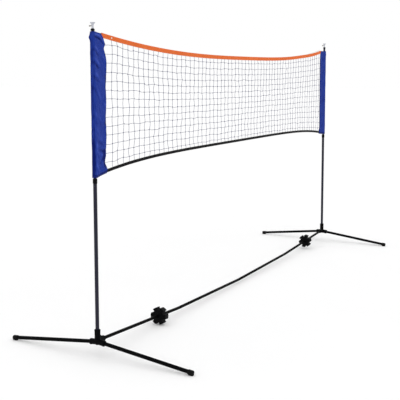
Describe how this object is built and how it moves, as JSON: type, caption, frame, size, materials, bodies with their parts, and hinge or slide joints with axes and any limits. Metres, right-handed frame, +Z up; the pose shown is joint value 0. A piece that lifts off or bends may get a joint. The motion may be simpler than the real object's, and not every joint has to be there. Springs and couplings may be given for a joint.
{
  "type": "portable badminton net",
  "caption": "Free-standing badminton net: knotted mesh with fabric sleeves on telescopic posts, joined by a sagging crossbar with toothed supports, and splayed legs under each post.",
  "frame": {"origin": "on the ground, midway between the two posts", "axes": "+X along the net, +Y across it along the legs, +Z up"},
  "size_m": [3.0276, 1.0224, 1.537],
  "materials": {
    "black_paint": "satin black powder coat",
    "gloss_black": "glossy moulded plastic",
    "matte_black": "matt moulded rubber",
    "grey_plastic": "smooth moulded plastic",
    "dark_pin": "dull zinc",
    "blue_fabric": "woven oxford polyester",
    "orange_tape": "woven polyester tape",
    "black_tape": "woven polyester tape",
    "net_cord": "twisted nylon twine",
    "white_cord": "braided cord",
    "lock_plastic": "moulded nylon",
    "eyelet_metal": "pressed, polished"
  },
  "bodies": {
    "frame": {"left_hub": "gloss_black", "left_lower_post": "black_paint", "left_post_collar": "gloss_black", "left_front_leg": "black_paint", "left_rear_leg": "black_paint", "left_front_foot": "matte_black", "left_rear_foot": "matte_black", "right_hub": "gloss_black", "right_lower_post": "black_paint", "right_post_collar": "gloss_black", "right_front_leg": "black_paint", "right_rear_leg": "black_paint", "right_front_foot": "matte_black", "right_rear_foot": "matte_black", "crossbar_tube_1": "black_paint", "crossbar_tube_2": "black_paint", "crossbar_tube_3": "black_paint", "crossbar_tube_4": "black_paint", "crossbar_coupler_1": "black_paint", "crossbar_coupler_2": "black_paint", "crossbar_coupler_3": "black_paint"},
    "left_post": {"left_upper_post": "black_paint", "left_lock_plug": "lock_plastic", "left_top_cap": "gloss_black", "left_cleat": "grey_plastic", "left_cleat_pin": "dark_pin", "left_sleeve": "blue_fabric", "right_sleeve": "blue_fabric", "net_panel": "net_cord", "top_band": "orange_tape", "bottom_band": "black_tape", "head_cord": "white_cord", "foot_cord": "white_cord", "left_eyelet": "eyelet_metal", "right_eyelet": "eyelet_metal"},
    "right_post": {"right_upper_post": "black_paint", "right_lock_plug": "lock_plastic", "right_top_cap": "gloss_black", "right_cleat": "grey_plastic", "right_cleat_pin": "dark_pin"},
    "left_lock": {"left_lock_ring": "lock_plastic"},
    "right_lock": {"right_lock_ring": "lock_plastic"},
    "left_star": {"left_star_support": "gloss_black"},
    "right_star": {"right_star_support": "gloss_black"}
  },
  "joints": [
    {"name": "left_post_slide", "type": "slide", "parent": "frame", "child": "left_post", "axis": [0, 0, 1], "range_m": [-0.655, 0]},
    {"name": "right_post_slide", "type": "slide", "parent": "frame", "child": "right_post", "axis": [0, 0, 1], "range_m": [-0.655, 0]},
    {"name": "left_lock_twist", "type": "hinge", "parent": "left_post", "child": "left_lock", "pos_m": [-1.5, 0, 0.77], "axis": [0, 0, 1], "range_deg": [0, 180]},
    {"name": "right_lock_twist", "type": "hinge", "parent": "right_post", "child": "right_lock", "pos_m": [1.5, 0, 0.77], "axis": [0, 0, 1], "range_deg": [0, 180]},
    {"name": "left_star_spin", "type": "hinge", "parent": "frame", "child": "left_star", "pos_m": [-0.95, 0, 0.04693], "axis": [0.9985, 0, -0.0546], "continuous": true},
    {"name": "right_star_spin", "type": "hinge", "parent": "frame", "child": "right_star", "pos_m": [1.142, 0, 0.05743], "axis": [0.9985, 0, 0.0546], "continuous": true}
  ],
  "couplings": [
    {"joint": "right_post_slide", "follows": "left_post_slide", "ratio": 1}
  ]
}
